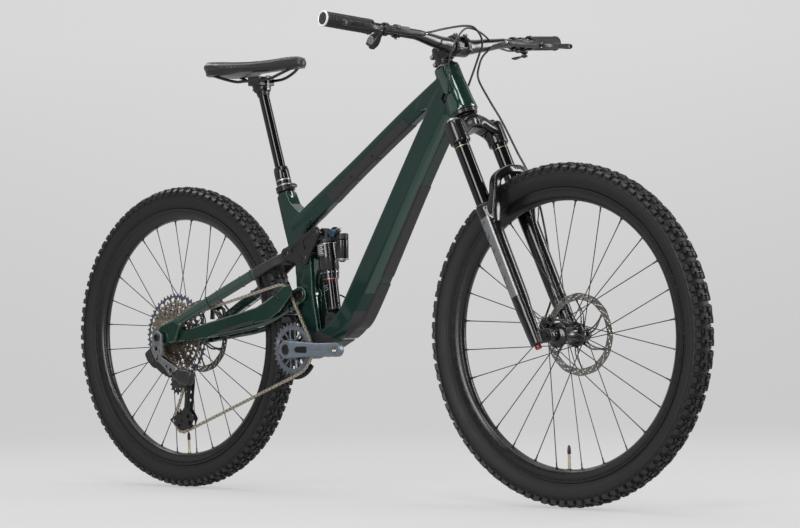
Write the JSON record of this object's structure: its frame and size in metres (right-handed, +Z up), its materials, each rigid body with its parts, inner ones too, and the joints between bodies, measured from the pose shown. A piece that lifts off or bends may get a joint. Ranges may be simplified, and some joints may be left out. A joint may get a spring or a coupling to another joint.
{
  "type": "mountain bike",
  "caption": "Full-suspension mountain bike with a telescopic fork, four-bar rear suspension, idler-routed chain drive, disc brakes and a telescoping saddle post.",
  "frame": {"origin": "on the ground, midway between the two axles, in the bike's middle plane", "axes": "+X forward, +Y to the rider's left, +Z up; the drive side is at -Y"},
  "size_m": [1.945, 0.802, 1.0721],
  "materials": {
    "frame_paint": "deep metallic green gloss paint",
    "gloss_black": "gloss black coating",
    "black_alloy": "satin black anodised alloy",
    "grey_alloy": "satin grey alloy",
    "steel": "brushed steel",
    "crank_grey": "satin blue-grey alloy",
    "chain_steel": "pale plated chain steel",
    "tyre_rubber": "matt black tyre rubber",
    "grip_rubber": "black rubber",
    "saddle_cover": "dark grey satin cover",
    "black_plastic": "matt black moulded plastic",
    "red_anodised": "red anodised alloy",
    "blue_anodised": "blue anodised alloy"
  },
  "bodies": {
    "frame": {"main_frame": "frame_paint", "headset_lower_cup": "black_alloy", "headset_upper_cup": "black_alloy", "bb_cup_right": "black_alloy", "bb_cup_left": "black_alloy", "seat_clamp": "black_alloy", "seatpost_outer": "gloss_black"},
    "steering": {"fork_crown_stanchions": "gloss_black", "stem": "black_alloy", "stem_faceplate": "black_alloy", "headset_top_cap": "black_alloy", "handlebar": "black_alloy", "grip_right": "grip_rubber", "grip_left": "grip_rubber", "brake_lever_body_right": "black_alloy", "brake_lever_body_left": "black_alloy", "shifter_pod": "black_alloy", "dropper_remote_clamp": "black_alloy"},
    "fork_sliders": {"fork_lowers": "gloss_black", "front_axle": "black_alloy", "front_caliper": "black_alloy"},
    "front_wheel": {"front_tyre": "tyre_rubber", "front_rim": "gloss_black", "front_hub_spokes": "black_alloy", "front_rotor": "steel"},
    "rear_wheel": {"rear_tyre": "tyre_rubber", "rear_rim": "gloss_black", "rear_hub_spokes": "black_alloy", "rear_rotor": "steel"},
    "cassette_group": {"cassette": "steel"},
    "crankset": {"chainring": "grey_alloy", "crank_arm_right": "crank_grey", "crank_arm_left": "crank_grey"},
    "swingarm": {"chainstay": "frame_paint", "chain": "chain_steel"},
    "idler": {"idler_pulley": "black_alloy"},
    "rear_stays": {"seatstay": "frame_paint", "rear_axle": "black_alloy", "rear_caliper": "black_alloy", "derailleur_mount": "grey_alloy"},
    "rocker": {"rocker_link": "black_alloy"},
    "shock_lower": {"shock_shaft": "gloss_black"},
    "shock_upper": {"shock_air_can": "gloss_black"},
    "shock_switch": {"shock_lever": "blue_anodised"},
    "mech_outer_link": {"derailleur_outer_link": "grey_alloy"},
    "mech_inner_link": {"derailleur_inner_link": "grey_alloy"},
    "mech_knuckle": {"derailleur_knuckle": "black_plastic"},
    "mech_cage": {"derailleur_cage": "black_alloy"},
    "mech_upper_pulley": {"upper_pulley": "black_plastic"},
    "mech_lower_pulley": {"lower_pulley": "black_plastic"},
    "seat": {"seatpost_inner": "gloss_black", "saddle_rails": "black_alloy", "saddle": "saddle_cover"},
    "brake_blade_right": {"brake_lever_right": "black_alloy"},
    "brake_blade_left": {"brake_lever_left": "black_alloy"},
    "dropper_paddle": {"dropper_lever": "black_alloy"},
    "shift_up": {"shift_button_upper": "black_plastic"},
    "shift_down": {"shift_button_lower": "black_plastic"},
    "compression_knob": {"fork_compression_knob": "grey_alloy"},
    "rebound_knob": {"fork_rebound_knob": "red_anodised"}
  },
  "joints": [
    {"name": "steering", "type": "hinge", "parent": "frame", "child": "steering", "pos_m": [0.31923, 0, 0.8705], "axis": [-0.4226, 0, 0.9063], "range_deg": [-60, 60]},
    {"name": "fork_travel", "type": "slide", "parent": "steering", "child": "fork_sliders", "axis": [-0.4226, 0, 0.9063], "range_m": [0, 0.14]},
    {"name": "front_wheel_spin", "type": "hinge", "parent": "fork_sliders", "child": "front_wheel", "pos_m": [0.6, 0, 0.3725], "axis": [0, 1, 0], "continuous": true},
    {"name": "main_pivot", "type": "hinge", "parent": "frame", "child": "swingarm", "pos_m": [-0.16, 0, 0.47], "axis": [0, 1, 0], "range_deg": [0, 17], "deforming": ["chain"]},
    {"name": "horst_pivot", "type": "hinge", "parent": "swingarm", "child": "rear_stays", "pos_m": [-0.557, 0, 0.372], "axis": [0, 1, 0], "range_deg": [-5, 1]},
    {"name": "rocker_pivot", "type": "hinge", "parent": "frame", "child": "rocker", "pos_m": [-0.153, 0, 0.5555], "axis": [0, 1, 0], "range_deg": [-1, 45]},
    {"name": "shock_swing", "type": "hinge", "parent": "frame", "child": "shock_lower", "pos_m": [-0.0864, 0, 0.4172], "axis": [0, 1, 0], "range_deg": [-1, 10]},
    {"name": "shock_stroke", "type": "slide", "parent": "shock_lower", "child": "shock_upper", "axis": [0.1368, 0, -0.9906], "range_m": [-0.001, 0.0455]},
    {"name": "shock_lever_turn", "type": "hinge", "parent": "shock_upper", "child": "shock_switch", "pos_m": [-0.07291, -0.015, 0.61195], "axis": [0, 1, 0], "range_deg": [-60, 0]},
    {"name": "rear_wheel_spin", "type": "hinge", "parent": "rear_stays", "child": "rear_wheel", "pos_m": [-0.6, 0, 0.3725], "axis": [0, 1, 0], "continuous": true},
    {"name": "crank_spin", "type": "hinge", "parent": "frame", "child": "crankset", "pos_m": [-0.173, 0, 0.3425], "axis": [0, 1, 0], "continuous": true},
    {"name": "cassette_spin", "type": "hinge", "parent": "rear_stays", "child": "cassette_group", "pos_m": [-0.6, 0, 0.3725], "axis": [0, 1, 0], "continuous": true},
    {"name": "idler_spin", "type": "hinge", "parent": "swingarm", "child": "idler", "pos_m": [-0.21, -0.054, 0.462], "axis": [0, 1, 0], "continuous": true},
    {"name": "upper_pulley_spin", "type": "hinge", "parent": "mech_cage", "child": "mech_upper_pulley", "pos_m": [-0.572, -0.054, 0.257], "axis": [0, 1, 0], "continuous": true},
    {"name": "lower_pulley_spin", "type": "hinge", "parent": "mech_cage", "child": "mech_lower_pulley", "pos_m": [-0.555, -0.054, 0.168], "axis": [0, 1, 0], "continuous": true},
    {"name": "mech_shift", "type": "hinge", "parent": "rear_stays", "child": "mech_outer_link", "pos_m": [-0.597, -0.095, 0.32], "axis": [0.4008, 0.6428, 0.6528], "range_deg": [-16, 8]},
    {"name": "mech_inner_pivot", "type": "hinge", "parent": "rear_stays", "child": "mech_inner_link", "pos_m": [-0.597, -0.0795, 0.32], "axis": [0.4008, 0.6428, 0.6528], "range_deg": [-16, 8]},
    {"name": "mech_knuckle_pivot", "type": "hinge", "parent": "mech_outer_link", "child": "mech_knuckle", "pos_m": [-0.54, -0.096, 0.285], "axis": [0.4008, 0.6428, 0.6528], "range_deg": [-8, 16]},
    {"name": "cage_swing", "type": "hinge", "parent": "mech_knuckle", "child": "mech_cage", "pos_m": [-0.53, -0.07, 0.266], "axis": [0, 1, 0], "range_deg": [-25, 40]},
    {"name": "dropper_travel", "type": "slide", "parent": "frame", "child": "seat", "axis": [-0.286, 0, 0.9582], "range_m": [-0.18, 0]},
    {"name": "brake_pull_right", "type": "hinge", "parent": "steering", "child": "brake_blade_right", "pos_m": [0.325, -0.2745, 1.037], "axis": [0, 0, -1], "range_deg": [0, 16]},
    {"name": "brake_pull_left", "type": "hinge", "parent": "steering", "child": "brake_blade_left", "pos_m": [0.325, 0.2745, 1.037], "axis": [0, 0, 1], "range_deg": [0, 16]},
    {"name": "dropper_lever_push", "type": "hinge", "parent": "steering", "child": "dropper_paddle", "pos_m": [0.30567, 0.236, 1.01367], "axis": [0, 0, 1], "range_deg": [0, 25]},
    {"name": "shift_button_upper_press", "type": "slide", "parent": "steering", "child": "shift_up", "axis": [0.7071, 0, 0.7071], "range_m": [0, 0.0005]},
    {"name": "shift_button_lower_press", "type": "slide", "parent": "steering", "child": "shift_down", "axis": [0.7071, 0, 0.7071], "range_m": [0, 0.0005]},
    {"name": "fork_compression_turn", "type": "hinge", "parent": "steering", "child": "compression_knob", "pos_m": [0.34408, -0.0655, 0.84325], "axis": [-0.4226, 0, 0.9063], "range_deg": [0, 90]},
    {"name": "fork_rebound_turn", "type": "hinge", "parent": "fork_sliders", "child": "rebound_knob", "pos_m": [0.57343, -0.068, 0.35139], "axis": [-0.4226, 0, 0.9063], "range_deg": [-180, 180]}
  ],
  "couplings": [
    {"joint": "horst_pivot", "follows": "main_pivot", "ratio": -0.2383},
    {"joint": "rocker_pivot", "follows": "main_pivot", "ratio": 2.5623},
    {"joint": "shock_swing", "follows": "main_pivot", "ratio": 0.5611},
    {"joint": "shock_stroke", "follows": "main_pivot", "m_per_rad": 0.14804},
    {"joint": "cassette_spin", "follows": "crank_spin", "ratio": 1.6667},
    {"joint": "idler_spin", "follows": "crank_spin", "ratio": 1.875},
    {"joint": "upper_pulley_spin", "follows": "crank_spin", "ratio": -2.5},
    {"joint": "lower_pulley_spin", "follows": "crank_spin", "ratio": 2.1429},
    {"joint": "mech_inner_pivot", "follows": "mech_shift", "ratio": 1},
    {"joint": "mech_knuckle_pivot", "follows": "mech_shift", "ratio": -1}
  ]
}
